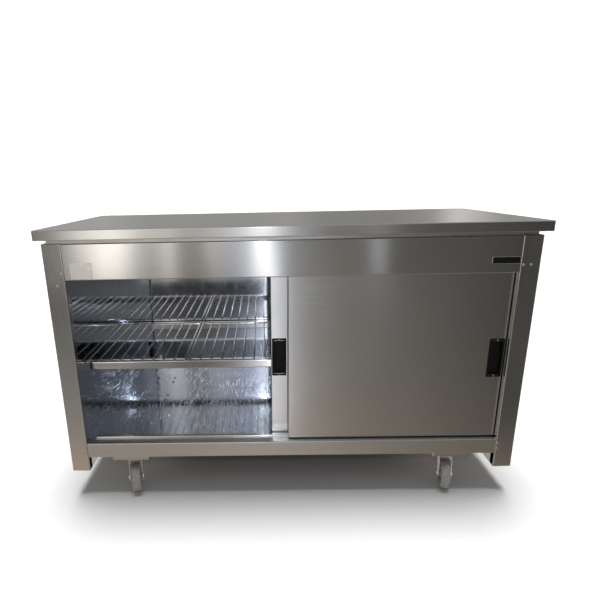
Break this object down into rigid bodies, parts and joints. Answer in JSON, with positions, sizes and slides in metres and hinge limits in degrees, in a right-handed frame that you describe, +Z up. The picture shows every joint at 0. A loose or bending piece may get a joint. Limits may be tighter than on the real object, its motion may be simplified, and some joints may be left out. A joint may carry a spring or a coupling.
{
  "type": "food holding cabinet",
  "caption": "Mobile stainless steel food holding cabinet with a flat worktop, hanging sliding doors, wire shelves inside and swivel castors.",
  "frame": {"origin": "on the floor, under the middle of the worktop", "axes": "+X to the right of someone facing the doors, +Y away from them through the cabinet, +Z up"},
  "size_m": [1.5, 0.675, 0.9],
  "materials": {
    "brushed_stainless": "brushed stainless sheet, worn",
    "polished_stainless": "bright annealed stainless sheet, near mirror, fine scratches",
    "mill_finish_steel": "dull mill finish, in shade",
    "zinc_plated_steel": "bright zinc plate",
    "bright_wire": "electropolished stainless wire",
    "grey_tread": "moulded grey polymer wheel, scuffed",
    "white_nylon": "turned nylon",
    "black_plastic": "moulded, satin",
    "mineral_wool": "mineral wool slab"
  },
  "bodies": {
    "cabinet": {"back_liner": "polished_stainless", "back_panel": "brushed_stainless", "base_rail_front": "brushed_stainless", "base_rail_rear": "brushed_stainless", "cable_gland": "black_plastic", "castor_beam_left": "mill_finish_steel", "castor_beam_right": "mill_finish_steel", "castor_plate_front_left": "zinc_plated_steel", "castor_plate_front_right": "zinc_plated_steel", "castor_plate_rear_left": "zinc_plated_steel", "castor_plate_rear_right": "zinc_plated_steel", "ceiling_liner": "polished_stainless", "door_guide": "brushed_stainless", "door_track": "brushed_stainless", "element_tray": "mill_finish_steel", "end_panel_left": "brushed_stainless", "end_panel_right": "brushed_stainless", "fascia": "brushed_stainless", "floor_pan": "polished_stainless", "heating_element": "mill_finish_steel", "insulation_ceiling": "mineral_wool", "insulation_wrap": "mineral_wool", "power_switch": "black_plastic", "shelf_rail_front": "brushed_stainless", "shelf_rail_rear": "brushed_stainless", "side_liner_left": "polished_stainless", "side_liner_right": "polished_stainless", "thermostat": "black_plastic", "top_frame": "mill_finish_steel", "worktop": "brushed_stainless"},
    "front_door": {"front_door_skin": "brushed_stainless", "front_door_inner_pan": "brushed_stainless", "front_door_pull": "black_plastic", "front_door_hanger": "zinc_plated_steel"},
    "front_door_roller_left": {"front_door_roller_left": "white_nylon"},
    "front_door_roller_right": {"front_door_roller_right": "white_nylon"},
    "rear_door": {"rear_door_skin": "brushed_stainless", "rear_door_inner_pan": "brushed_stainless", "rear_door_pull": "black_plastic", "rear_door_hanger": "zinc_plated_steel"},
    "rear_door_roller_left": {"rear_door_roller_left": "white_nylon"},
    "rear_door_roller_right": {"rear_door_roller_right": "white_nylon"},
    "castor_front_left": {"castor_fork_front_left": "zinc_plated_steel", "castor_axle_front_left": "zinc_plated_steel"},
    "castor_wheel_front_left": {"castor_wheel_front_left": "grey_tread"},
    "castor_front_right": {"castor_fork_front_right": "zinc_plated_steel", "castor_axle_front_right": "zinc_plated_steel"},
    "castor_wheel_front_right": {"castor_wheel_front_right": "grey_tread"},
    "castor_rear_left": {"castor_fork_rear_left": "zinc_plated_steel", "castor_axle_rear_left": "zinc_plated_steel"},
    "castor_wheel_rear_left": {"castor_wheel_rear_left": "grey_tread"},
    "castor_rear_right": {"castor_fork_rear_right": "zinc_plated_steel", "castor_axle_rear_right": "zinc_plated_steel"},
    "castor_wheel_rear_right": {"castor_wheel_rear_right": "grey_tread"},
    "wire_shelf_1": {"wire_shelf_1": "bright_wire"},
    "wire_shelf_2": {"wire_shelf_2": "bright_wire"},
    "wire_shelf_3": {"wire_shelf_3": "bright_wire"},
    "wire_shelf_4": {"wire_shelf_4": "bright_wire"},
    "thermostat_knob": {"thermostat_knob": "black_plastic"},
    "power_rocker": {"power_rocker": "black_plastic"}
  },
  "joints": [
    {"name": "front_door_slide", "type": "slide", "parent": "cabinet", "child": "front_door", "axis": [1, 0, 0], "range_m": [-0.674, 0]},
    {"name": "rear_door_slide", "type": "slide", "parent": "cabinet", "child": "rear_door", "axis": [1, 0, 0], "range_m": [-0.62, 0.054]},
    {"name": "front_door_roller_left_spin", "type": "hinge", "parent": "front_door", "child": "front_door_roller_left", "pos_m": [0.0565, -0.2735, 0.7998], "axis": [0, 1, 0], "continuous": true},
    {"name": "front_door_roller_right_spin", "type": "hinge", "parent": "front_door", "child": "front_door_roller_right", "pos_m": [0.6165, -0.2735, 0.7998], "axis": [0, 1, 0], "continuous": true},
    {"name": "rear_door_roller_left_spin", "type": "hinge", "parent": "rear_door", "child": "rear_door_roller_left", "pos_m": [0.0025, -0.235, 0.7998], "axis": [0, 1, 0], "continuous": true},
    {"name": "rear_door_roller_right_spin", "type": "hinge", "parent": "rear_door", "child": "rear_door_roller_right", "pos_m": [0.5625, -0.235, 0.7998], "axis": [0, 1, 0], "continuous": true},
    {"name": "castor_front_left_swivel", "type": "hinge", "parent": "cabinet", "child": "castor_front_left", "pos_m": [-0.54, -0.2525, 0.11], "axis": [0, 0, 1], "continuous": true},
    {"name": "castor_front_left_roll", "type": "hinge", "parent": "castor_front_left", "child": "castor_wheel_front_left", "pos_m": [-0.53274, -0.28161, 0.05], "axis": [0.9703, 0.2419, 0], "continuous": true},
    {"name": "castor_front_right_swivel", "type": "hinge", "parent": "cabinet", "child": "castor_front_right", "pos_m": [0.54, -0.2525, 0.11], "axis": [0, 0, 1], "continuous": true},
    {"name": "castor_front_right_roll", "type": "hinge", "parent": "castor_front_right", "child": "castor_wheel_front_right", "pos_m": [0.53274, -0.28161, 0.05], "axis": [0.9703, -0.2419, 0], "continuous": true},
    {"name": "castor_rear_left_swivel", "type": "hinge", "parent": "cabinet", "child": "castor_rear_left", "pos_m": [-0.54, 0.1715, 0.11], "axis": [0, 0, 1], "continuous": true},
    {"name": "castor_rear_left_roll", "type": "hinge", "parent": "castor_rear_left", "child": "castor_wheel_rear_left", "pos_m": [-0.54, 0.1415, 0.05], "axis": [1, 0, 0], "continuous": true},
    {"name": "castor_rear_right_swivel", "type": "hinge", "parent": "cabinet", "child": "castor_rear_right", "pos_m": [0.54, 0.1715, 0.11], "axis": [0, 0, 1], "continuous": true},
    {"name": "castor_rear_right_roll", "type": "hinge", "parent": "castor_rear_right", "child": "castor_wheel_rear_right", "pos_m": [0.54, 0.1415, 0.05], "axis": [1, 0, 0], "continuous": true},
    {"name": "wire_shelf_1_lift", "type": "slide", "parent": "cabinet", "child": "wire_shelf_1", "axis": [0, 0, 1], "range_m": [0, 0.04]},
    {"name": "wire_shelf_2_lift", "type": "slide", "parent": "cabinet", "child": "wire_shelf_2", "axis": [0, 0, 1], "range_m": [0, 0.04]},
    {"name": "wire_shelf_3_lift", "type": "slide", "parent": "cabinet", "child": "wire_shelf_3", "axis": [0, 0, 1], "range_m": [0, 0.04]},
    {"name": "wire_shelf_4_lift", "type": "slide", "parent": "cabinet", "child": "wire_shelf_4", "axis": [0, 0, 1], "range_m": [0, 0.04]},
    {"name": "thermostat_turn", "type": "hinge", "parent": "cabinet", "child": "thermostat_knob", "pos_m": [0.56, 0.3135, 0.826], "axis": [0, -1, 0], "range_deg": [0, 270]},
    {"name": "power_rocker_tip", "type": "hinge", "parent": "cabinet", "child": "power_rocker", "pos_m": [0.48, 0.3105, 0.826], "axis": [0, 0, -1], "range_deg": [0, 14]}
  ],
  "couplings": [
    {"joint": "front_door_roller_left_spin", "follows": "front_door_slide", "rad_per_m": 83.333},
    {"joint": "front_door_roller_right_spin", "follows": "front_door_slide", "rad_per_m": 83.333},
    {"joint": "rear_door_roller_left_spin", "follows": "rear_door_slide", "rad_per_m": 83.333},
    {"joint": "rear_door_roller_right_spin", "follows": "rear_door_slide", "rad_per_m": 83.333}
  ]
}
